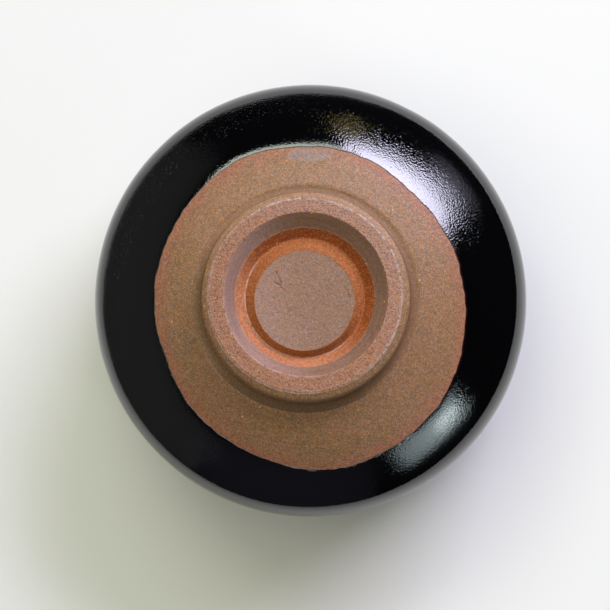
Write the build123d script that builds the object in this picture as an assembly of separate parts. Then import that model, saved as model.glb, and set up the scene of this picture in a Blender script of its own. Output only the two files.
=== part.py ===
from build123d import *
from math import cos, pi, radians, sin
import os

# A wheel-thrown tea bowl (chawan) of dark iron clay under a glossy black glaze.
# It is stored mouth down, resting on its rim, with the trimmed foot on top.
# Origin: centre of the rim plane.  +Z runs from the rim to the foot.  Millimetres.

# ---- driving dimensions -------------------------------------------------
HEIGHT = 76.0            # rim plane to foot face
GLAZE = 0.7              # thickness of the fired glaze coat

# foot ring, cut with a trimming tool while the clay was leather hard
FACE_R_OUT = 26.0        # flat bearing face of the foot, outside radius
FACE_R_IN = 21.9         # and inside radius
BEVEL_R = 27.8           # outer edge of the worn chamfer round the face
BEVEL_DROP = 1.2
FOOT_WALL_R = 28.0       # low end of the upright foot wall
FOOT_WALL_DROP = 7.7
FOOT_CORNER = 0.8        # hollow corner between the wall and the moat
MOAT_R = 30.35           # outer edge of the narrow moat that the tool left round the foot
MOAT_DROP = 7.95
ROOT_R = 30.65           # crisp edge where the bowl's underside begins
ROOT_DROP = 7.6

# hollow of the foot: a V groove round a flat central disc, both cut off centre
GROOVE_R = 16.1
GROOVE_DROP = 5.4
GROOVE_CENTRE = (-0.45, -0.70)
DISC_R = 13.4
DISC_DROP = 3.0
DISC_CENTRE = (-0.37, -1.45)

# outside of the bowl, from the root down to the lip: (arc radius, slope at its end)
ROOT_SLOPE = 19.0
OUTSIDE_ARCS = [(76.5, 42), (6.3, 57), (10.3, 66), (14.3, 84), (59.3, 90), (400, 94.8)]

# inside of the bowl: a shallow tea pool, then arcs down to the lip
POOL_R = 17.0
POOL_DROP = 12.5         # foot face to the middle of the inside floor
POOL_RIM_R = 21.0
POOL_RIM_DROP = 13.8
POOL_RIM_SLOPE = 3.0
INSIDE_ARCS = [(52.6, 30), (22.0, 84), (60.0, 90), (400, 93.9)]

LIP_ROUND = 1.8          # rounding of the clay at the lip
RIM_BAND = 4.0           # height of the lip band where both glaze coats lap

# The dipped glaze line wanders round the underside: mean radius and its waves,
# each (how many round, size, angle of a crest in degrees)
LINE_R = 42.85
LINE_WAVES = [(1, 2.82, -76.3), (2, 1.33, -66.2), (4, 0.17, 10.0), (7, 0.23, 18.9)]
LINE_POINTS = 28

FAR = 90.0               # reach of the cutting shapes, past the bowl on every side


# ---- outlines, drawn in the XZ plane as (radius, height) -----------------
def arc_run(r, z, slope, arcs, grow):
    """Edges of a run of tangent arcs that turn ever steeper on the way down.

    grow moves the whole run along its outward normal: plus for the outside
    of the bowl, minus for the inside.
    """
    slope = radians(slope)
    r, z = r + grow * sin(slope), z + grow * cos(slope)
    edges = []
    for rho, end in arcs:
        end, rho = radians(end), rho + grow

        def at(angle, r=r, z=z, start=slope, rho=rho):
            return (r + rho * (sin(angle) - sin(start)), z + rho * (cos(angle) - cos(start)))

        edges.append(ThreePointArc(at(slope), at((slope + end) / 2), at(end)))
        (r, z), slope = at(end), end
    return edges, (r, z)


def foot_edges():
    """The foot ring before it is hollowed, and the moat round it, from the axis to the root."""
    return [Polyline((0, HEIGHT), (FACE_R_OUT, HEIGHT), (BEVEL_R, HEIGHT - BEVEL_DROP),
                     (FOOT_WALL_R, HEIGHT - FOOT_WALL_DROP), (MOAT_R, HEIGHT - MOAT_DROP),
                     (ROOT_R, HEIGHT - ROOT_DROP))]


def pool_edges(coat):
    """The inside floor from the axis to the edge of the tea pool."""
    floor = HEIGHT - POOL_DROP - coat
    edge = HEIGHT - POOL_RIM_DROP - coat * cos(radians(POOL_RIM_SLOPE))
    edge_r = POOL_RIM_R - coat * sin(radians(POOL_RIM_SLOPE))
    fall = Spline((POOL_R, floor), (edge_r, edge),
                  tangents=[(1, 0), (cos(radians(POOL_RIM_SLOPE)), -sin(radians(POOL_RIM_SLOPE)))])
    return [Line((0, floor), (POOL_R, floor)), fall]


def section(coat):
    """Half section of the bowl with a coat of this thickness on it, as a face."""
    outside, outer_end = arc_run(ROOT_R, HEIGHT - ROOT_DROP, ROOT_SLOPE, OUTSIDE_ARCS, coat)
    inside, inner_end = arc_run(POOL_RIM_R, HEIGHT - POOL_RIM_DROP, POOL_RIM_SLOPE,
                                INSIDE_ARCS, -coat)
    lip = GLAZE - coat
    step = [Line((ROOT_R, HEIGHT - ROOT_DROP), outside[0] @ 0)] if coat else []
    rim = [Line(outer_end, (outer_end[0], lip)), Line((outer_end[0], lip), (inner_end[0], lip)),
           Line((inner_end[0], lip), inner_end)]
    axis = Line((0, HEIGHT - POOL_DROP - coat), (0, HEIGHT))
    edges = foot_edges() + step + outside + rim + inside + pool_edges(coat) + [axis]
    face = make_face(edges)
    at_foot = [v for v in face.vertices() if abs(v.X - FOOT_WALL_R) < 1e-4]
    face = fillet(at_foot, FOOT_CORNER)
    at_lip = [v for v in face.vertices() if abs(v.Y - lip) < 1e-4]
    return fillet(at_lip, LIP_ROUND + coat)


def spin(face):
    return revolve(Plane.XZ * face, Axis.Z, 360)


# ---- cutting shapes -------------------------------------------------------
def loose_disc(radius, centre, drop):
    return Pos(centre[0], centre[1], HEIGHT - drop) * Circle(radius)


def foot_hollow():
    """What the trimming tool took out of the foot: a cone, less the raised disc."""
    mouth = loose_disc(FACE_R_IN, (0, 0), 0)
    groove = loose_disc(GROOVE_R, GROOVE_CENTRE, GROOVE_DROP)
    disc = loose_disc(DISC_R, DISC_CENTRE, DISC_DROP)
    return loft([groove, mouth]) - loft([groove, disc])


def glaze_line():
    """Upright prism inside the glaze line, where the underside stays bare."""
    points = []
    for k in range(LINE_POINTS):
        a = 2 * pi * k / LINE_POINTS
        r = LINE_R + sum(size * cos(n * (a - radians(crest))) for n, size, crest in LINE_WAVES)
        points.append((r * cos(a), r * sin(a)))
    return extrude(make_face(Spline(points, periodic=True)), HEIGHT + FAR)


# ---- pieces ---------------------------------------------------------------
def clay_body():
    return spin(section(0)) - foot_hollow()


def glaze_coats():
    """The coat round the clay, parted into outside, lip band and inside."""
    coat = section(GLAZE) - section(0)
    band = Pos(FAR / 2, RIM_BAND / 2) * Rectangle(FAR, RIM_BAND)
    below_foot = Pos(FAR / 2, -FAR / 2 + HEIGHT) * Rectangle(FAR, FAR)
    rest = (coat & below_foot) - band
    inside, outside = sorted(rest.faces(), key=lambda f: f.center().X)
    return spin(outside) - glaze_line(), spin(coat & band), spin(inside)


def main():
    os.makedirs("parts", exist_ok=True)
    outer, rim, inner = glaze_coats()
    pieces = {"clay_body": clay_body(), "outer_glaze": outer, "rim_glaze": rim, "inner_glaze": inner}
    for name, shape in pieces.items():
        shape.label = name
        export_step(shape, f"parts/{name}.step")
        box = shape.bounding_box()
        print(f"{name}: {len(shape.solids())} solid, {shape.volume:.0f} mm3, {box.min} to {box.max}")


main()
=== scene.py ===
from math import cos, pi, radians, sin

import bpy
import numpy as np
from mathutils import Matrix, Quaternion, Vector, noise


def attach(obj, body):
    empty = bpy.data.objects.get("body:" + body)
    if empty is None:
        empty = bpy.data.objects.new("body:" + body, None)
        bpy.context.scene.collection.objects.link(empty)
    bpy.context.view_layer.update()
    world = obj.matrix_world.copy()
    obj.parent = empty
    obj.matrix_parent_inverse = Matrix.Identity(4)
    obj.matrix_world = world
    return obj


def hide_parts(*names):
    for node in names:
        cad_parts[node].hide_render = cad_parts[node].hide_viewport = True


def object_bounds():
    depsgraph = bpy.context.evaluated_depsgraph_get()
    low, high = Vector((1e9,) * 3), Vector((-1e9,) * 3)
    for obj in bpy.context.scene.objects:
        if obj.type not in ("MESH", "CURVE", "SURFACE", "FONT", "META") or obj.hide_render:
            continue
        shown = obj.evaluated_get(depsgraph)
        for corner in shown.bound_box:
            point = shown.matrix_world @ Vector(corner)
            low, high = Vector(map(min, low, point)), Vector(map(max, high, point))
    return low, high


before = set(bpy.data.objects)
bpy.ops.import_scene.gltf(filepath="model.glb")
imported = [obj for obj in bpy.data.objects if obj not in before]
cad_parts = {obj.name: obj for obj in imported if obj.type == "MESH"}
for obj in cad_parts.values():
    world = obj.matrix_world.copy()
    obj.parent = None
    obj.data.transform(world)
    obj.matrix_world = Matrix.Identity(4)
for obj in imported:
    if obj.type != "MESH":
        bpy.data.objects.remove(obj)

# The bowl stands mouth down on its rim, with the bare foot on top, as the CAD model does.
# Shapes are worked out in millimetres and turned into metres when a mesh is made.
# A DROP is a depth below the foot's face.  A SIDE is a direction in degrees from +X towards +Y.
MM = 0.001
CAD_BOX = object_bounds()
HEIGHT = CAD_BOX[1].z / MM

# ---- the clay body, in the CAD model's own dimensions ---------------------------
FACE_R_OUT, FACE_R_IN = 26.0, 21.9
BEVEL_R, BEVEL_DROP = 27.8, 1.2
FOOT_WALL_R, FOOT_WALL_DROP, FOOT_CORNER = 28.0, 7.7, 0.8
MOAT_R, MOAT_DROP = 30.35, 7.95
ROOT_R, ROOT_DROP, ROOT_SLOPE = 30.65, 7.6, 19.0
GROOVE_R, GROOVE_DROP, GROOVE_CENTRE = 16.1, 5.4, (-0.45, -0.70)
DISC_R, DISC_DROP, DISC_CENTRE = 13.4, 3.0, (-0.37, -1.45)
OUTSIDE_ARCS = [(76.5, 42), (6.3, 57), (10.3, 66), (14.3, 84), (59.3, 90), (400, 94.8)]
POOL_R, POOL_DROP = 17.0, 12.5
POOL_RIM_R, POOL_RIM_DROP, POOL_RIM_SLOPE = 21.0, 13.8, 3.0
INSIDE_ARCS = [(52.6, 30), (22.0, 84), (60.0, 90), (400, 93.9)]
GLAZE = 0.7                              # the clay's lip is one coat of glaze above the floor
LINE_R = 42.85                           # mean radius of the glaze line
LINE_WAVES = [(1, 2.82, -76.3), (2, 1.33, -66.2), (4, 0.17, 10.0), (7, 0.23, 18.9)]

# ---- what the tool, the kiln and wear did to the bare clay -----------------------
# centres of the rings that the trimming tool cut a little off the bowl's axis
FACE_CENTRE, BEVEL_CENTRE, MOAT_CENTRE = (-0.15, -0.22), (0.0, -0.40), (-0.35, -0.72)
FACE_WEAR = 0.2                          # the face's outer edge is worn this much lower
# the burr's side is the side the light comes from: its pale colour, strongest there, is painted highlight
# over a worn edge
BURR_R, BURR_LIGHT_SIDE = 25.85, 40            # the pale burr at that edge, and the side where it is strongest
FOOT_DEPTH = 14.0                        # the foot, its hollow and the root lie within this depth
CORNER_CUT = 0.25                        # where the foot wall's hollow corner passes between its ends
FLAME_R, FLAME_CENTRE = 18.7, (-0.32, -0.56)     # outer edge of the burnt orange in the groove
PITS, PIT_SEED, PIT_ZONE = 60, 7, (2, 44)        # how many, and the radii between which they lie
SMEAR_PLACE, SMEAR_SIZE = (0.4, 38.6), (6.2, 1.9)
STAIN_PLACE, STAIN_SIZE = (-34.5, -12.5), (5.0, 3.5)
CRACK_REACH = 0.28                       # half the width of a crack

# ---- the edge and the thickness of the fired glaze -------------------------------
DRIP_SIDE = 284                          # where the glaze's edge stands proud
ROLL_SIDE = 100                          # where it rolled back into a bead
THIN_COAT, FULL_COAT = 0.06, 0.22        # at the very edge, and what is added well past it
BEAD, BEAD_ROLLED, EDGE_PROUD = 0.10, 0.20, 0.20
SUNK = 0.3                               # the underside of a coat lies this deep in the clay
OUTER_LAP, INNER_START = 6.0, 4.0        # how far past the lip the outer coat ends and the inner starts
HIP_R = 55.0                             # the glaze line lies well inside this radius
FAR_FROM_LINE = 20.0                     # stands for any place well past the glaze line

# ---- how finely the meshes are divided -------------------------------------------
FINE = 0.02                              # spacing of the points along an outline
CRISP, GROOVE_SOFT, ROOT_SOFT, LIP_SOFT = 0.3, 0.45, 2.0, 3.4    # rounding of the clay's edges
GROOVE_REACH = 2.2                       # how far from GROOVE_R the groove's rounding applies
LIP_TOP, LIP_FADE = 6.0, 3.0             # height where the lip's rounding begins, and grows to full
BARE_R = 50.0                            # the glaze covers all the clay past this radius
HIDDEN_SINK = 0.02                       # the clay under the glaze is lowered by this
COLUMNS = 640                            # points in a full ring of the foot or of the outer glaze
DISC_STEP, BARE_STEP, HIDDEN_STEP = 0.27, 0.4, 2.2     # spacing of the clay's rings
SPACING_BLEND = 60                       # FINE steps each way over which that spacing changes
GLAZE_ROWS = [(0.06, 0.3), (0.12, 0.9), (0.25, 1.9), (0.48, 26), (1.0, 72), (0.7, 86)]   # (step, until)
UNDER_STEP, LINING_STEP = 5.0, 0.9       # rows of the outer coat's underside, rings of the lining


# =============================== outlines =======================================
def arc_run(r, z, slope, arcs, step=0.05):
    """Points of a run of tangent arcs, each (radius, slope at its end in degrees)."""
    slope, points = radians(slope), [(r, z)]
    for rho, end in arcs:
        end = radians(end)
        for a in np.linspace(slope, end, max(8, int(rho * (end - slope) / step)))[1:]:
            points.append((r + rho * (sin(a) - sin(slope)), z + rho * (cos(a) - cos(slope))))
        (r, z), slope = points[-1], end
    return points


def distances(line):
    """Distance along a line to each of its points."""
    return np.r_[0, np.cumsum(np.hypot(*np.diff(line, axis=0).T))]


def directions(line):
    """Unit tangent of a line at each of its points."""
    tangent = np.gradient(line, axis=0)
    return tangent / np.hypot(*tangent.T)[:, None]


def even(points, step):
    """The same line with points every step along it."""
    points = np.array(points, float)
    run = distances(points)
    at = np.linspace(0, run[-1], int(run[-1] / step) + 1)
    return np.c_[np.interp(at, run, points[:, 0]), np.interp(at, run, points[:, 1])]


def soften(points, reach):
    """Rounds the corners of a line of FINE spacing over about reach millimetres."""
    n = max(1, int(reach / FINE / 2))
    window = np.hanning(2 * n + 3)[1:-1]
    window /= window.sum()
    padded = np.pad(points, ((n, n), (0, 0)), mode="reflect", reflect_type="odd")
    return np.c_[[np.convolve(padded[:, k], window, "valid") for k in (0, 1)]].T


def foot_outline():
    """From the middle of the foot's disc out to the root."""
    low = HEIGHT - FOOT_WALL_DROP
    return [(0, HEIGHT - DISC_DROP), (DISC_R, HEIGHT - DISC_DROP), (GROOVE_R, HEIGHT - GROOVE_DROP),
            (FACE_R_IN, HEIGHT), (FACE_R_OUT, HEIGHT - FACE_WEAR), (BEVEL_R, HEIGHT - BEVEL_DROP),
            (FOOT_WALL_R, low + FOOT_CORNER), (FOOT_WALL_R + CORNER_CUT, low + CORNER_CUT),
            (FOOT_WALL_R + FOOT_CORNER, low), (MOAT_R, HEIGHT - MOAT_DROP),
            (ROOT_R, HEIGHT - ROOT_DROP)]


def clay_outline():
    """The whole half section, from the disc over the foot and the lip to the inside floor."""
    outside = arc_run(ROOT_R, HEIGHT - ROOT_DROP, ROOT_SLOPE, OUTSIDE_ARCS)
    inside = arc_run(POOL_RIM_R, HEIGHT - POOL_RIM_DROP, POOL_RIM_SLOPE, INSIDE_ARCS)
    floor = HEIGHT - POOL_DROP
    lip = [(outside[-1][0], GLAZE), (inside[-1][0], GLAZE)]
    whole = foot_outline() + outside + lip + inside[::-1] + [(POOL_R, floor), (0, floor)]
    return even(whole, FINE)


def glaze_line(angle):
    """Radius of the glaze line at these angles, before its small runs are added."""
    return LINE_R + sum(size * np.cos(n * (angle - radians(crest))) for n, size, crest in LINE_WAVES)


# =============================== noise ==========================================
def rough(points, wavelength, octaves=1, seed=0.0):
    """Gradient noise at these points, about -1 to 1."""
    shift = Vector((seed * 17.3, seed * 5.7, seed * 9.1))
    k = 1 / wavelength
    if octaves == 1:
        return np.array([noise.noise(Vector(p) * k + shift) for p in points])
    return np.array([noise.fractal(Vector(p) * k + shift, 1.0, 2.0, octaves) for p in points])


def step_up(x, low, high):
    """0 below low, 1 above high, smooth between."""
    t = np.clip((x - low) / (high - low), 0, 1)
    return t * t * (3 - 2 * t)


def quarter_round(t):
    """Rises from 0 at 0 to 1 at 1 as a quarter circle does, and stays there."""
    return np.sqrt(np.clip(1 - (1 - np.clip(t, 0, 1)) ** 2, 0, 1))


# =============================== meshes =========================================
def lathe_faces(counts):
    """Faces between rings whose point counts are equal, doubled or halved.

    The first and the last ring may be single points.
    """
    starts = np.r_[0, np.cumsum(counts)]
    faces = []
    for k in range(len(counts) - 1):
        a, b, na, nb = starts[k], starts[k + 1], counts[k], counts[k + 1]
        if na == 1:
            faces += [(a, b + j, b + (j + 1) % nb) for j in range(nb)]
        elif nb == 1:
            faces += [(a + j, b, a + (j + 1) % na) for j in range(na)]
        elif na == nb:
            faces += [(a + j, b + j, b + (j + 1) % nb, a + (j + 1) % na) for j in range(na)]
        elif nb == 2 * na:
            for j in range(na):
                p, q = a + j, a + (j + 1) % na
                u, v, w = b + 2 * j, b + 2 * j + 1, b + (2 * j + 2) % nb
                faces += [(p, u, v), (p, v, q), (q, v, w)]
        else:
            for j in range(nb):
                p, q = b + j, b + (j + 1) % nb
                u, v, w = a + 2 * j, a + 2 * j + 1, a + (2 * j + 2) % na
                faces += [(p, v, u), (p, q, v), (q, w, v)]
    return faces


def unit_circle(n):
    """Cosines and sines of n directions round the bowl."""
    a = 2 * pi * np.arange(n) / n
    return np.cos(a), np.sin(a)


def solid(name, points, faces, **fields):
    """A closed smooth mesh from points in millimetres, with one float per point for each field."""
    mesh = bpy.data.meshes.new(name)
    mesh.from_pydata((points * MM).tolist(), [], faces)
    mesh.shade_smooth()
    for field, values in fields.items():
        mesh.attributes.new(field, "FLOAT", "POINT").data.foreach_set("value", values.astype("f"))
    piece = bpy.data.objects.new(name, mesh)
    bpy.context.scene.collection.objects.link(piece)
    return piece


# =============================== clay ===========================================
def clay_section(sharp):
    """The outline with its edges rounded: crisp at the foot, softer in the groove and at the root."""
    foot = sharp[:, 1] > HEIGHT - FOOT_DEPTH
    in_groove = foot & (abs(sharp[:, 0] - GROOVE_R) < GROOVE_REACH)
    at_root = np.exp(-(sharp[:, 0] - ROOT_R) ** 4) * foot
    line = np.where(in_groove[:, None], soften(sharp, GROOVE_SOFT), soften(sharp, CRISP))
    line = line + at_root[:, None] * (soften(sharp, ROOT_SOFT) - line)
    line[0, 0] = line[-1, 0] = 0
    return line


def ring_plan():
    """Radius, height and point count of each ring of the clay, and whether it is on the outside.

    The rings are close where the clay shows and far apart under the glaze.
    """
    sharp = clay_outline()
    line = clay_section(sharp)
    run = distances(line)
    disc_end, bare_end = (run[np.argmax(sharp[:, 0] > r)] for r in (DISC_R + 0.5, BARE_R))
    spacing = np.where(run < disc_end, DISC_STEP, np.where(run < bare_end, BARE_STEP, HIDDEN_STEP))
    blend = 2 * SPACING_BLEND + 1
    spacing = np.convolve(np.pad(spacing, SPACING_BLEND, mode="edge"), np.ones(blend) / blend, "valid")
    count = np.r_[0, np.cumsum(np.diff(run) / spacing[1:])]
    at = np.r_[0, np.interp(np.arange(1, int(count[-1])), count, run), run[-1]]
    r, z = np.interp(at, run, line[:, 0]), np.interp(at, run, line[:, 1])
    # a small ring needs fewer points than a large one, and a hidden ring fewer still
    bare = at < bare_end
    shown = np.select([r < 3, r < 8, r < 17], [COLUMNS // 8, COLUMNS // 4, COLUMNS // 2], COLUMNS)
    segments = np.where(bare, shown, np.where(r < 12, COLUMNS // 8, COLUMNS // 4))
    # counts change only by halves, so one ring stands between the full and the hidden rings
    segments[np.argmax(~bare)] = COLUMNS // 2
    segments[0] = segments[-1] = 1
    return r, z, segments, at < run[-1] / 2


def ring_centres(r, upper):
    """How far each ring of the foot is off the bowl's axis, from the centres given at these radii."""
    stops = {0: DISC_CENTRE, DISC_R: DISC_CENTRE, GROOVE_R: GROOVE_CENTRE, FACE_R_IN: (0, 0),
             FACE_R_OUT: FACE_CENTRE, BEVEL_R: BEVEL_CENTRE, MOAT_R: MOAT_CENTRE,
             ROOT_R: MOAT_CENTRE, ROOT_R + 5: (0, 0)}
    shifts = np.array(list(stops.values()))
    return np.c_[[np.where(upper, np.interp(r, list(stops), shifts[:, k]), 0) for k in (0, 1)]].T


def ring_points():
    """The clay before its surface is roughened: points, normals, faces, and which points are outside."""
    r, z, segments, upper = ring_plan()
    tangent, shift = directions(np.c_[r, z]), ring_centres(r, upper)
    points, normals = [], []
    for k, n in enumerate(segments):
        c, s = unit_circle(n)
        points.append(np.c_[r[k] * c + shift[k, 0], r[k] * s + shift[k, 1], np.full(n, z[k])])
        out, rise = -tangent[k, 1], tangent[k, 0]
        normals.append(np.c_[out * c, out * s, np.full(n, rise)])
    return np.vstack(points), np.vstack(normals), lathe_faces(list(segments)), np.repeat(upper, segments)


def pit_depth(points):
    """Depth of a scatter of small pits at these points."""
    rng = np.random.default_rng(PIT_SEED)
    depth = np.zeros(len(points))
    for _ in range(PITS):
        r, a = np.sqrt(rng.uniform(PIT_ZONE[0] ** 2, PIT_ZONE[1] ** 2)), rng.uniform(0, 2 * pi)
        size, deep = rng.uniform(0.25, 0.55), rng.uniform(0.08, 0.22)
        gap = np.hypot(points[:, 0] - r * cos(a), points[:, 1] - r * sin(a))
        depth = np.maximum(depth, deep * np.exp(-(gap / size) ** 2))
    return depth


# Hairline cracks in the bare clay, as broken lines seen from above
CRACKS = [
    [(-7.9, 6.2), (-7.4, 5.0), (-7.1, 4.2), (-6.6, 3.1)],
    [(-8.3, 3.3), (-7.2, 2.9), (-6.6, 2.0), (-5.6, 1.4)],
    [(10.4, 2.2), (11.3, 1.2), (11.6, 0.2), (12.0, -0.7)],
    [(-23.7, 1.9), (-23.9, 0.2), (-23.6, -1.4)],
]


def crack_share(points):
    """1 on a crack's wandering line, falling to 0 at CRACK_REACH from it."""
    near = np.full(len(points), np.inf)
    p = points[:, :2] + 0.25 * np.c_[rough(points, 0.8, 2, 41), rough(points, 0.8, 2, 42)]
    for crack in CRACKS:
        for a, b in zip(np.array(crack[:-1]), np.array(crack[1:])):
            t = np.clip((p - a) @ (b - a) / ((b - a) @ (b - a)), 0, 1)
            near = np.minimum(near, np.hypot(*(p - a - t[:, None] * (b - a)).T))
    return 1 - step_up(near, 0.0, CRACK_REACH)


def burr_share(points):
    """1 on the broken burr at the face's outer edge, 0 away from it, and stronger on the side the light
    comes from.
    """
    off_line = np.hypot(points[:, 0] - FACE_CENTRE[0], points[:, 1] - FACE_CENTRE[1]) - BURR_R
    burr = np.exp(-((off_line + 0.1 * rough(points, 1.3, 1, 6)) / 0.24) ** 2)
    burr *= np.clip(0.5 + 1.1 * rough(points, 0.9, 2, 5) + 0.4 * rough(points, 4.0, 1, 7), 0, 1)
    to_side = np.cos(np.arctan2(points[:, 1], points[:, 0]) - radians(BURR_LIGHT_SIDE))
    return burr * (0.55 + 0.45 * step_up(to_side, -0.3, 0.6))


def clay_relief(points, pits, cracks, burr):
    """How far the bare surface stands above the turned shape at these points."""
    r = np.hypot(points[:, 0], points[:, 1])
    half_turn = np.degrees(np.arctan2(points[:, 1], points[:, 0]) % pi)
    grain = 0.035 * rough(points, 0.9, 2, 1) + 0.02 * rough(points, 3.1, 1, 2)
    face = step_up(r, FACE_R_IN - 0.2, FACE_R_IN + 0.2) * (1 - step_up(r, FACE_R_OUT - 0.2, FACE_R_OUT))
    flame = step_up(r, DISC_R - 0.5, DISC_R) * (1 - step_up(r, FLAME_R - 0.4, FLAME_R))
    turning = 0.03 * rough(np.c_[r, np.zeros(len(r)), 0.012 * half_turn], 1.1, 2, 3)
    return (grain * (0.7 + 1.1 * face + 0.8 * flame) + turning * step_up(r, ROOT_R - 0.5, ROOT_R + 1)
            + 0.10 * rough(points, 22, 1, 4) + 0.10 * burr - 0.6 * pits - 0.12 * cracks)


def make_clay():
    points, normals, faces, top = ring_points()
    radius = np.hypot(points[:, 0], points[:, 1])
    bare = top & (radius < BARE_R)
    shown = points[bare]
    pits, cracks, burr = pit_depth(shown), crack_share(shown), burr_share(shown)
    lift, scar, worn = np.zeros((3, len(points)))
    lift[top] = -HIDDEN_SINK
    lift[bare] = clay_relief(shown, pits, cracks, burr)
    scar[bare] = np.maximum(cracks, np.clip(pits / 0.2, 0, 1) * 0.4)
    worn[bare] = burr
    points = points + normals * lift[:, None]
    gap = glaze_line(np.arctan2(points[:, 1], points[:, 0])) - radius
    return solid("clay_body_fired", points, faces, scar=scar, line_gap=gap, worn=worn)


# =============================== glaze ==========================================
def glazed_surface():
    """The clay from near the root, round the lip and up the inside: (distances, line, normals)."""
    sharp = clay_outline()
    line, at_lip = soften(sharp, CRISP), soften(sharp, LIP_SOFT)
    near_lip = np.clip((LIP_TOP - line[:, 1]) / LIP_FADE, 0, 1)[:, None]
    line = line * (1 - near_lip) + at_lip * near_lip
    line = line[np.argmax(line[:, 0] > ROOT_R + 2):]
    tangent = directions(line)
    return distances(line), line, np.c_[-tangent[:, 1], tangent[:, 0]]


def on_surface(surface, at):
    """Radius, height and the normal's two parts at these distances along the surface."""
    run, line, normal = surface
    return [np.interp(at, run, values) for values in (*line.T, *normal.T)]


def row_shares():
    """The outer coat's rows as shares of its length, close together at the glaze line."""
    rows = [0.0]
    for step, until in GLAZE_ROWS:
        n = max(1, round((until - rows[-1]) / step))
        rows += list(np.linspace(rows[-1], until, n + 1)[1:])
    return np.array(rows) / rows[-1]


def shell(name, surface, start, end, thickness):
    """A closed coat from start, a distance for each column, to end, with its underside in the clay.

    thickness is worked out from the distance past the start, the distance left to the end
    and the places on the clay.
    """
    c, s = unit_circle(COLUMNS)
    rings, past = [], []
    outside = row_shares()
    underside = np.linspace(1, 0, int(GLAZE_ROWS[-1][1] / UNDER_STEP))
    for k, share in enumerate([*outside, *underside]):
        at = start + share * (end - start)
        r, z, nr, nz = on_surface(surface, at)
        lift = thickness(at - start, end - at, np.c_[r * c, r * s, z]) if k < len(outside) else -SUNK
        rings.append(np.c_[(r + nr * lift) * c, (r + nr * lift) * s, z + nz * lift])
        past.append(share * (end - start))
    here = np.arange(len(rings) * COLUMNS).reshape(len(rings), COLUMNS)
    below = np.roll(here, -1, axis=0)
    faces = np.stack([here, below, np.roll(below, -1, axis=1), np.roll(here, -1, axis=1)], -1)
    return solid(name, np.vstack(rings), faces.reshape(-1, 4).tolist(), past_line=np.hstack(past))


def outer_coat(surface, end):
    """The glaze outside and round the lip, from the wandering line to a little way up the inside."""
    run, line, _ = surface
    angle = 2 * pi * np.arange(COLUMNS) / COLUMNS
    circle = LINE_R * np.c_[np.cos(angle), np.sin(angle), np.zeros(COLUMNS)]
    ragged = 0.22 * rough(circle, 3.0, 2, 11) + 0.35 * rough(circle, 9.0, 1, 12)
    hip = np.argmax(line[:, 0] > HIP_R)
    start = np.interp(glaze_line(angle) + ragged, line[:hip, 0], run[:hip])
    drip = np.clip(0.5 + 1.2 * rough(circle, 1.6, 2, 13), 0, 1)
    drip = drip * step_up(np.cos(angle - radians(DRIP_SIDE)), 0.90, 0.97)
    rolled = BEAD + BEAD_ROLLED * step_up(np.cos(angle - radians(ROLL_SIDE)), 0.80, 0.96)

    def thickness(past, left, place):
        edge, ending = quarter_round(past / 0.12), quarter_round(left / 1.2)
        proud = THIN_COAT + EDGE_PROUD * drip * np.exp(-((past - 0.15) / 0.35) ** 2)
        body = rolled * (1 - np.exp(-past / 1.2)) + FULL_COAT * (1 - np.exp(-past / 12.0))
        waves = 0.02 * rough(place, 7.0, 1, 22) + 0.10 * rough(place, 30.0, 1, 23)
        coat = proud * edge + body + waves * step_up(past, 0.4, 8.0)
        return coat * (0.3 + 0.7 * ending) - 0.03 * (1 - edge) - 0.25 * (1 - ending)

    return shell("glaze_outside_and_lip", surface, start, end, thickness)


def bowl_lining(surface, start):
    """The coat inside the bowl: a closed skin from under the lip's coat to the middle of the floor."""
    middle = surface[0][-1]
    at = np.r_[np.arange(start, middle - 0.6, LINING_STEP), middle]
    r, z, nr, nz = on_surface(surface, at)
    r[-1], nr[-1], nz[-1] = 0, 0, -1
    counts = [COLUMNS // 2 if x > 14 else COLUMNS // 4 if x > 5 else COLUMNS // 8 for x in r]
    counts[-1] = 1
    skins, unders = [], []
    for k, n in enumerate(counts):
        c, s = unit_circle(n)
        place = np.c_[r[k] * c, r[k] * s, np.full(n, z[k])]
        out = np.c_[nr[k] * c, nr[k] * s, np.full(n, nz[k])]
        rings_round = 0.06 * rough(np.c_[np.zeros(n), np.zeros(n), np.full(n, at[k])], 5.0, 2, 31)
        coat = 0.5 + rings_round + 0.05 * rough(place, 9.0, 1, 32)
        skins.append(place + out * coat[:, None])
        unders.append(place - out * SUNK)
    points = np.vstack(skins[::-1] + unders)
    faces = [face[::-1] for face in lathe_faces(counts[::-1] + counts)]
    return solid("glaze_inside", points, faces, past_line=np.full(len(points), FAR_FROM_LINE))


def make_glaze():
    surface = glazed_surface()
    run, line, _ = surface
    lip = run[np.argmin(line[:, 1])]
    return outer_coat(surface, lip + OUTER_LAP), bowl_lining(surface, lip + INNER_START)


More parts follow.
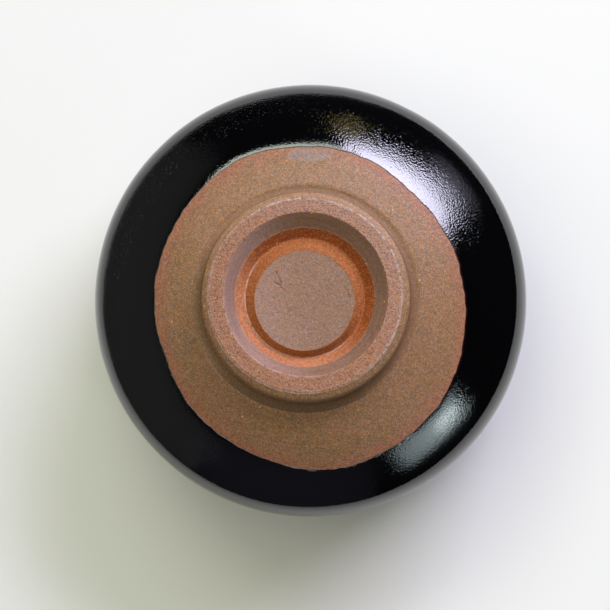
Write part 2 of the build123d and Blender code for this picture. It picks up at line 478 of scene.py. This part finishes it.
# =============================== materials ======================================
class Graph:
    """A node tree, with short calls for the nodes that this scene uses."""

    def __init__(self, tree):
        self.tree = tree

    def node(self, kind, **settings):
        node = self.tree.nodes.new(kind)
        for key, value in settings.items():
            setattr(node, key, value)
        return node

    def put(self, socket, value):
        if isinstance(value, bpy.types.NodeSocket):
            self.tree.links.new(value, socket)
        else:
            socket.default_value = value

    def math(self, operation, a, b, clamp=False):
        node = self.node("ShaderNodeMath", operation=operation, use_clamp=clamp)
        for socket, value in zip(node.inputs, (a, b)):
            self.put(socket, value)
        return node.outputs[0]

    def vector(self, operation, a, b=(0, 0, 0)):
        node = self.node("ShaderNodeVectorMath", operation=operation)
        self.put(node.inputs[0], a)
        self.put(node.inputs[1], b)
        return node.outputs["Value" if operation in ("LENGTH", "DISTANCE", "DOT_PRODUCT") else "Vector"]

    def mix(self, share, a, b):
        """Colour a where share is 0, b where it is 1."""
        node = self.node("ShaderNodeMix", data_type="RGBA")
        for key, value in ((0, share), (6, a), (7, b)):
            self.put(node.inputs[key], value)
        return node.outputs[2]

    def rise(self, value, low, high):
        """0 below low, 1 above high, smooth between."""
        node = self.node("ShaderNodeMapRange", interpolation_type="SMOOTHSTEP")
        for key, v in (("Value", value), ("From Min", low), ("From Max", high)):
            self.put(node.inputs[key], v)
        return node.outputs["Result"]

    def band(self, value, low, high, soft):
        """1 between low and high, 0 elsewhere, with edges that fade over soft each way."""
        return self.math("MULTIPLY", self.rise(value, low - soft, low + soft),
                         self.math("SUBTRACT", 1.0, self.rise(value, high - soft, high + soft)))


class Net(Graph):
    """A material that works in millimetres of the bowl's own frame."""

    def __init__(self, name):
        self.material = bpy.data.materials.new(name)
        self.material.use_nodes = True
        super().__init__(self.material.node_tree)
        self.shader = self.tree.nodes["Principled BSDF"]
        coords = self.node("ShaderNodeTexCoord").outputs["Object"]
        self.place = self.vector("MULTIPLY", coords, (1 / MM, 1 / MM, 1 / MM))

    def noise(self, wavelength, detail=2.0, rough=0.5, place=None, shift=0.0):
        node = self.node("ShaderNodeTexNoise", noise_dimensions="3D")
        place = place or self.place
        if shift:
            place = self.vector("ADD", place, (shift, shift * 1.7, shift * 0.6))
        self.put(node.inputs["Vector"], place)
        node.inputs["Scale"].default_value = 1 / wavelength
        node.inputs["Detail"].default_value = detail
        node.inputs["Roughness"].default_value = rough
        return node.outputs["Fac"]

    def cells(self, size, shift):
        node = self.node("ShaderNodeTexVoronoi")
        self.put(node.inputs["Vector"], self.vector("ADD", self.place, (shift, shift, shift)))
        node.inputs["Scale"].default_value = 1 / size
        return node.outputs

    def random_cells(self, size, shift=0.0):
        """A random value from 0 to 1 for each cell of this size."""
        return self.vector("DOT_PRODUCT", self.cells(size, shift)["Color"], (1, 0, 0))

    def cell_distance(self, size, shift):
        """How far a place is from the middle of its cell, in cell sizes."""
        return self.cells(size, shift)["Distance"]

    def towards(self, degrees):
        """How far a place lies from the axis in this direction."""
        return self.vector("DOT_PRODUCT", self.place, (cos(radians(degrees)), sin(radians(degrees)), 0))

    def turned(self):
        """Places for a texture that runs in rings round the bowl's axis."""
        node = self.node("ShaderNodeCombineXYZ")
        self.put(node.inputs["X"], self.radius())
        self.put(node.inputs["Y"], self.vector("DOT_PRODUCT", self.place, (0.04, 0, 0)))
        self.put(node.inputs["Z"], self.vector("DOT_PRODUCT", self.place, (0, 0.04, 0)))
        return node.outputs["Vector"]

    def field(self, name):
        return self.node("ShaderNodeAttribute", attribute_name=name).outputs["Fac"]

    def bump(self, height, distance):
        node = self.node("ShaderNodeBump")
        node.inputs["Strength"].default_value = 1.0
        node.inputs["Distance"].default_value = distance * MM
        self.put(node.inputs["Height"], height)
        return node.outputs["Normal"]

    def radius(self, centre=(0, 0)):
        flat = self.vector("MULTIPLY", self.place, (1, 1, 0))
        return self.vector("DISTANCE", flat, (centre[0], centre[1], 0))


def linear(level):
    """The linear value that a shader takes for a screen's level of 0 to 255."""
    share = level / 255
    return share / 12.92 if level <= 10 else ((share + 0.055) / 1.055) ** 2.4


def rgb(r, g, b):
    """A colour given in a screen's levels."""
    return linear(r), linear(g), linear(b), 1


TAUPE, TAUPE_WARM, HOLLOW_SHEEN = rgb(132, 102, 90), rgb(130, 100, 83), rgb(154, 122, 115)
FACE, FACE_LIT = rgb(161, 113, 94), rgb(168, 130, 118)
BEVEL_SHADE, BEVEL_LIT = rgb(120, 90, 62), rgb(152, 118, 88)
BROWN, OLIVE = rgb(136, 100, 74), rgb(127, 97, 64)
# painted shade in the moat round the foot: its lighter shade, the deep shadow at the front, and the shadow
# in the crease at its outer edge
MOAT_SHADE, MOAT_DEEP_SHADE, MOAT_CREASE_SHADE = rgb(124, 86, 56), rgb(96, 62, 24), rgb(86, 54, 16)
FLAME, FLAME_IN_SHADE, FLAME_SHEEN = rgb(158, 90, 40), rgb(146, 68, 2), rgb(188, 120, 82)
FLAME_DARK, FLAME_BRIGHT = rgb(108, 48, 10), rgb(208, 126, 68)
EDGE_HIGHLIGHT = rgb(176, 150, 140)
FLUSH = rgb(150, 88, 72)
SMEAR, STAIN = rgb(128, 116, 114), rgb(98, 84, 74)
BURR_HIGHLIGHT = rgb(204, 190, 186)
GRAIN_DARK, GRAIN_ORANGE, GRAIN_LIGHT = rgb(96, 68, 48), rgb(176, 112, 54), rgb(170, 144, 120)
SPECK = rgb(226, 156, 84)
STREAK, SCAR = rgb(60, 44, 36), rgb(100, 44, 22)
GLAZE_BLACK, GLAZE_THIN = rgb(2, 2, 3), rgb(36, 10, 8)
GLAZE_IOR, GLAZE_ROUGHNESS, FILM_ROUGHNESS = 1.75, 0.07, 0.15
PEEL, FINE_PEEL, PEEL_HEIGHT = 0.58, 0.36, 0.056       # wavelengths and height of the orange peel
CLAY_ROUGHNESS, CLAY_BUMP = 0.52, 0.18
SAND, COARSE_SAND, SPECK_CELL = 0.26, 0.34, 2.4        # sizes of the grains' cells
PAPER, PAPER_ROUGHNESS = rgb(229, 229, 227), 0.9


def both(net, a, b):
    """The product of two shares."""
    return net.math("MULTIPLY", a, b)


def rest_of(net, share):
    """What a share leaves of 1."""
    return net.math("SUBTRACT", 1.0, share)


def sand(net, colour, amount):
    """Speckles the colour with dark, orange and light grains of sand."""
    fine, coarse = net.random_cells(SAND), net.random_cells(COARSE_SAND, 7.0)
    for pick, grain, share in ((rest_of(net, net.rise(fine, 0.24, 0.32)), GRAIN_DARK, 0.54),
                               (net.band(fine, 0.38, 0.58, 0.04), GRAIN_ORANGE, 0.56),
                               (net.rise(fine, 0.84, 0.90), GRAIN_LIGHT, 0.52),
                               (net.band(coarse, 0.40, 0.50, 0.03), GRAIN_ORANGE, 0.46),
                               (net.band(coarse, 0.70, 0.78, 0.03), GRAIN_DARK, 0.38)):
        colour = net.mix(both(net, pick, both(net, amount, share)), colour, grain)
    return colour


def specks(net):
    """1 in the few larger bright grains, 0 elsewhere."""
    picked = net.rise(net.random_cells(SPECK_CELL, 3.0), 0.93, 0.94)
    return both(net, picked, rest_of(net, net.rise(net.cell_distance(SPECK_CELL, 3.0), 0.07, 0.15)))


def flame_colour(net, burnt):
    """Burnt orange, the groove's own colour, painted deeper where the groove's outer wall faces away from
    the light (painted shade) and paler towards the front left, where it faces the light (painted sheen).
    """
    # painted shade on the far side of the groove's outer wall, painted sheen at its front left
    wall = net.mix(net.rise(net.towards(232), -5.0, 11.0), FLAME_IN_SHADE, FLAME_SHEEN)
    side = net.rise(net.radius(GROOVE_CENTRE), GROOVE_R - 0.3, GROOVE_R + 0.3)
    colour = net.mix(side, FLAME, wall)
    colour = net.mix(both(net, burnt, 0.40), colour, FLAME_DARK)
    bright = net.rise(net.random_cells(COARSE_SAND, 21.0), 0.72, 0.85)
    return net.mix(both(net, bright, 0.4), colour, FLAME_BRIGHT)


def spot(net, centre, size, seed):
    """1 in a ragged oval spot, 0 outside."""
    flat = net.vector("SUBTRACT", net.place, (centre[0], centre[1], 0))
    reach = net.vector("LENGTH", net.vector("MULTIPLY", flat, (1 / size[0], 1 / size[1], 0)))
    ragged = net.math("ADD", reach, both(net, net.noise(2.5, 3, 0.6, shift=seed), 0.5))
    return rest_of(net, net.rise(ragged, 1.05, 1.35))


def moat_painted_shade(net):
    """Share and colour of the painted shade in the narrow moat round the foot: crisp and dark at the front,
    where the foot's shadow falls, and fading elsewhere.
    """
    r = net.radius(MOAT_CENTRE)
    crisp = net.band(r, BEVEL_R + 0.3, ROOT_R + 0.1, 0.15)
    faded = both(net, crisp, rest_of(net, net.rise(r, FOOT_WALL_R + 0.5, ROOT_R + 0.8)))
    front = net.rise(net.towards(262), 18.0, 27.0)
    colour = net.mix(net.rise(net.towards(240), -6.0, 14.0), MOAT_SHADE, MOAT_DEEP_SHADE)
    # painted shadow in the crease at the moat's outer edge
    dark = net.mix(net.rise(r, FOOT_WALL_R + 1.0, ROOT_R), MOAT_DEEP_SHADE, MOAT_CREASE_SHADE)
    share = net.math("ADD", both(net, crisp, front), both(net, faded, rest_of(net, front)))
    return share, net.mix(front, colour, dark)


def edge_highlights(net):
    """Painted highlight: pale lines along the bottom of the groove and the inner edge of the face, at the
    front left only, where these edges catch the light.
    """
    broken = net.rise(net.noise(1.1, 2, 0.6, shift=71), 0.34, 0.5)
    groove = net.band(net.radius(GROOVE_CENTRE), GROOVE_R - 0.30, GROOVE_R + 0.08, 0.1)
    groove = both(net, groove, net.rise(net.towards(228), -1.0, 6.0))
    face = net.band(net.radius(), FACE_R_IN - 0.2, FACE_R_IN + 0.1, 0.12)
    face = both(net, face, net.rise(net.towards(215), 4.0, 14.0))
    return both(net, broken, net.math("MAXIMUM", both(net, groove, 0.9), both(net, face, 0.6)))


def clay_material():
    net = Net("iron_clay")
    r = net.radius()
    wobble = both(net, net.math("SUBTRACT", net.noise(2.6, 3), 0.5), 0.8)
    disc_r = net.math("ADD", net.radius(DISC_CENTRE), both(net, wobble, 0.6))
    flame_r = net.math("ADD", net.radius(FLAME_CENTRE), both(net, wobble, 0.8))
    streak = net.noise(0.55, 1, 0.5, place=net.turned())
    # where each kind of surface lies
    flame = both(net, net.rise(disc_r, DISC_R - 0.3, DISC_R + 0.15),
                 rest_of(net, net.rise(flame_r, FLAME_R - 0.2, FLAME_R + 0.2)))
    on_disc = rest_of(net, net.rise(disc_r, DISC_R - 0.4, DISC_R))
    inside_face = rest_of(net, net.rise(r, FACE_R_IN - 0.3, FACE_R_IN))
    hollow_wall = net.math("SUBTRACT", net.math("SUBTRACT", inside_face, flame), on_disc, clamp=True)
    rough_zone = net.math("MAXIMUM", net.band(r, FACE_R_IN, FACE_R_OUT, 0.2), flame)
    moat, moat_shade_colour = moat_painted_shade(net)
    # broad zones of colour
    body = net.mix(net.rise(net.noise(9.0, 3, 0.6), 0.35, 0.65), OLIVE, BROWN)
    hollow = net.mix(net.rise(net.noise(6.0, 2, shift=31), 0.3, 0.7), TAUPE, TAUPE_WARM)
    # painted sheen: the hollow's wall turns lavender at the front left, where it faces the light
    hollow = net.mix(both(net, net.rise(net.towards(195), -2.0, 18.0), 0.9), hollow, HOLLOW_SHEEN)
    # painted sheen: the face turns lighter and bluer towards side 50, where the light comes from
    face = net.mix(net.rise(net.towards(50), -8.0, 26.0), FACE, FACE_LIT)
    colour = net.mix(net.rise(r, FACE_R_IN - 0.15, FACE_R_IN + 0.15), hollow, face)
    rim_r = net.radius(FACE_CENTRE)
    bevel = net.band(rim_r, FACE_R_OUT + 0.3, BEVEL_R + 0.2, 0.3)
    # painted light and shade: the bevel is lighter towards side 80 and darker on the far side, as the light
    # falls
    bevel_lit_and_shaded = net.mix(net.rise(net.towards(80), -22.0, 24.0), BEVEL_SHADE, BEVEL_LIT)
    outside = net.mix(bevel, body, bevel_lit_and_shaded)
    colour = net.mix(net.rise(rim_r, FACE_R_OUT - 0.2, FACE_R_OUT + 0.4), colour, outside)
    # painted shade in the moat round the foot
    colour = net.mix(moat, colour, moat_shade_colour)
    burnt = net.rise(net.noise(0.7, 2, 0.7, shift=5), 0.45, 0.6)
    colour = net.mix(flame, colour, flame_colour(net, burnt))
    # flushed red in patches where the glaze ends
    ragged = both(net, net.math("SUBTRACT", net.noise(6.0, 3, 0.6, shift=12), 0.5), 6.0)
    gap = net.math("ADD", net.field("line_gap"), ragged)
    flush = both(net, rest_of(net, net.rise(gap, -0.3, 4.5)), net.rise(r, ROOT_R, ROOT_R + 3))
    colour = net.mix(both(net, flush, 0.75), colour, FLUSH)
    colour = net.mix(both(net, spot(net, SMEAR_PLACE, SMEAR_SIZE, 51), 0.95), colour, SMEAR)
    colour = net.mix(both(net, spot(net, STAIN_PLACE, STAIN_SIZE, 61), 0.35), colour, STAIN)
    # fine turning streaks, then the sandy grain, the painted highlights on the edges and the burr, and the
    # scars
    streaky = both(net, net.rise(streak, 0.35, 0.65), net.math("ADD", 0.10, both(net, hollow_wall, 0.12)))
    colour = net.mix(streaky, colour, STREAK)
    quiet = net.math("MAXIMUM", both(net, hollow_wall, 0.5), both(net, moat, 0.75))
    quiet = net.math("MAXIMUM", quiet, both(net, flame, 1.1))
    grainy = net.math("ADD", net.math("ADD", 1.0, both(net, rough_zone, 0.15)), both(net, on_disc, -0.25))
    colour = sand(net, colour, net.math("SUBTRACT", grainy, quiet))
    colour = net.mix(both(net, specks(net), 0.8), colour, SPECK)
    # painted highlight on the groove's bottom and the face's inner edge
    colour = net.mix(edge_highlights(net), colour, EDGE_HIGHLIGHT)
    colour = net.mix(both(net, net.field("scar"), 0.85), colour, SCAR)
    # painted highlight on the worn burr at the face's outer edge, brightest on the side the light comes
    # from
    colour = net.mix(both(net, net.field("worn"), 0.85), colour, BURR_HIGHLIGHT)
    net.put(net.shader.inputs["Base Color"], colour)
    # burnished where the tool ran, rough on the ground face and in the orange groove
    duller = net.math("SUBTRACT", both(net, rough_zone, 0.25), both(net, hollow_wall, 0.12))
    net.put(net.shader.inputs["Roughness"], net.math("ADD", CLAY_ROUGHNESS, duller))
    coarse = net.noise(1.2, 2, 0.5, shift=8)
    height = net.math("ADD", net.noise(0.45, 3, 0.65, shift=2), both(net, coarse, 0.8))
    height = both(net, height, net.math("ADD", 0.6, both(net, rough_zone, 0.9)))
    height = net.math("ADD", height, both(net, streak, 0.25))
    net.put(net.shader.inputs["Normal"], net.bump(height, CLAY_BUMP))
    return net.material


def glaze_material():
    net = Net("black_glaze")
    past = net.field("past_line")
    # at its very edge the glaze is a thin film, reddish on one side and less glossy
    red = both(net, rest_of(net, net.rise(past, 0.1, 0.8)), net.rise(net.towards(0), -25.0, 35.0))
    net.put(net.shader.inputs["Base Color"], net.mix(red, GLAZE_BLACK, GLAZE_THIN))
    film = rest_of(net, net.rise(past, 0.12, 0.35))
    net.put(net.shader.inputs["Roughness"],
            net.math("ADD", GLAZE_ROUGHNESS, both(net, film, FILM_ROUGHNESS)))
    net.shader.inputs["IOR"].default_value = GLAZE_IOR
    # the fine orange peel of a thick fired glaze, calmer down the sides and near the glaze line
    fine = net.noise(FINE_PEEL, 0, 0.5, shift=16)
    peel = net.math("ADD", net.noise(PEEL, 1, 0.5, shift=6), both(net, fine, 0.6))
    calm = net.math("MAXIMUM", both(net, net.rise(net.radius(), 50.0, 56.0), 0.8),
                    both(net, net.rise(net.towards(315), 25.0, 42.0), 0.5))
    calm = net.math("MAXIMUM", calm, both(net, rest_of(net, net.rise(past, 1.0, 6.0)), 0.35))
    peel = both(net, peel, rest_of(net, calm))
    net.put(net.shader.inputs["Normal"], net.bump(peel, PEEL_HEIGHT))
    return net.material


# =============================== studio =========================================
EYE = (24.0, -31.0, 600.0)               # the camera's place, in millimetres from the middle of the foot
TARGET = (-0.11, -2.79, 0.0)             # the place it looks at, counted in the same way
LENS, SENSOR = 133.4, 36
LAMP_DISTANCE, LAMP_AIM = 2.5, 0.7       # metres from the place aimed at, and its share of the height
LAMP_LEVEL, LAMP_FADE = 1.3, 0.25        # strength in the middle, and how gently the edges fade
DIM, BACKDROP = (0.01, 0.01, 0.011, 1), (0.80, 0.80, 0.79, 1)
FLOOR_SIZE = 6


def camera():
    """Almost straight down on the foot, leaning a little towards the front right."""
    data = bpy.data.cameras.new("camera")
    data.lens, data.sensor_width = LENS, SENSOR
    eye = bpy.data.objects.new("camera", data)
    bpy.context.scene.collection.objects.link(eye)
    foot = Vector((0, 0, HEIGHT))
    place, target = ((foot + Vector(v)) * MM for v in (EYE, TARGET))
    back = (place - target).normalized()
    right = Vector((0, 1, 0)).cross(back).normalized()
    eye.matrix_world = Matrix((right, back.cross(right), back)).transposed().to_4x4()
    eye.matrix_world.translation = place
    bpy.context.scene.camera = eye


def soft_edges(data, along, up):
    """Fades an area light out towards its edges; along and up make one end brighter than the other."""
    data.use_nodes = True
    graph = Graph(data.node_tree)
    place = graph.node("ShaderNodeNewGeometry").outputs["Parametric"]
    strength = LAMP_LEVEL
    for axis, lean in (((1, 0, 0), along), ((0, 1, 0), up)):
        t = graph.vector("DOT_PRODUCT", place, axis)
        hill = graph.math("MULTIPLY", graph.math("MULTIPLY", t, 4.0), graph.math("SUBTRACT", 1.0, t))
        slope = graph.math("ADD", 1.0 - lean, graph.math("MULTIPLY", t, 2.0 * lean))
        shaped = graph.math("MULTIPLY", slope, graph.math("POWER", hill, LAMP_FADE))
        strength = graph.math("MULTIPLY", strength, shaped)
    emission = next(n for n in data.node_tree.nodes if n.type == "EMISSION")
    graph.put(emission.inputs["Strength"], strength)


def softbox(name, side, elevation, width, height, power, colour=(1, 1, 1), roll=0, along=0.0, up=0.0):
    """An area light in metres and watts that faces the bowl from this side.

    roll turns it in its own plane, so that its end at the larger side angle stands higher.
    """
    data = bpy.data.lights.new(name, "AREA")
    data.shape, data.size, data.size_y = "RECTANGLE", width, height
    data.energy, data.color = power, colour
    soft_edges(data, along, up)
    lamp = bpy.data.objects.new(name, data)
    bpy.context.scene.collection.objects.link(lamp)
    a, e = radians(side), radians(elevation)
    away = Vector((cos(a) * cos(e), sin(a) * cos(e), sin(e)))
    aim = Vector((0, 0, HEIGHT * MM * LAMP_AIM))
    lamp.location = aim + away * LAMP_DISTANCE
    lamp.rotation_mode = "QUATERNION"
    lamp.rotation_quaternion = away.to_track_quat("Z", "Y") @ Quaternion((0, 0, 1), radians(roll))


def lamps():
    softbox("window", 54, 35.5, 1.8, 1.1, 75, (0.81, 0.79, 1.0), roll=9, along=0.1, up=0.15)
    softbox("window_low", 42, 14, 0.8, 0.5, 1.2, (0.80, 0.78, 1.0), up=0.5)
    softbox("skylight", 106, 50, 1.7, 0.9, 20, (0.92, 1.0, 0.86))
    softbox("overhead", 165, 75, 3.0, 2.8, 35, (1.0, 0.97, 0.75))
    softbox("side", 312.5, 21, 1.2, 0.85, 7.0, (0.80, 0.97, 1.0), along=0.3)
    softbox("side_core", 320, 19.5, 0.45, 0.3, 1.6, (0.90, 1.0, 1.0))
    softbox("far_wall", 180, 18, 6.5, 2.0, 4.0)
    softbox("dark_wall", 258, 18, 3.0, 1.8, 1.0, (0.7, 0.7, 1.0))
    softbox("lamp", 78.5, 18, 0.3, 0.3, 0.6, (1.0, 0.8, 0.3))


def surroundings():
    """A pale even backdrop for the camera, which is almost dark as a light on the bowl."""
    world = bpy.data.worlds.new("studio")
    bpy.context.scene.world = world
    world.use_nodes = True
    graph = Graph(world.node_tree)
    seen = graph.node("ShaderNodeLightPath").outputs["Is Camera Ray"]
    shade = graph.tree.nodes["Background"]
    graph.put(shade.inputs["Color"], graph.mix(seen, DIM, BACKDROP))
    shade.inputs["Strength"].default_value = 1.0


def make_floor():
    bpy.ops.mesh.primitive_plane_add(size=FLOOR_SIZE)
    floor = bpy.context.object
    floor.name = "floor"
    paper = bpy.data.materials.new("paper")
    paper.use_nodes = True
    shader = paper.node_tree.nodes["Principled BSDF"]
    shader.inputs["Base Color"].default_value = PAPER
    shader.inputs["Roughness"].default_value = PAPER_ROUGHNESS
    floor.data.materials.append(paper)


def main():
    bpy.context.scene.view_settings.view_transform = "Standard"
    camera()
    surroundings()
    lamps()
    make_floor()
    clay = make_clay()
    outer, inner = make_glaze()
    clay.data.materials.append(clay_material())
    black = glaze_material()
    for piece in (outer, inner):
        piece.data.materials.append(black)
    for piece in (clay, outer, inner):
        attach(piece, "root")
    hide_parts("clay_body")
    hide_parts("outer_glaze", "rim_glaze")
    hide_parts("inner_glaze")


main()
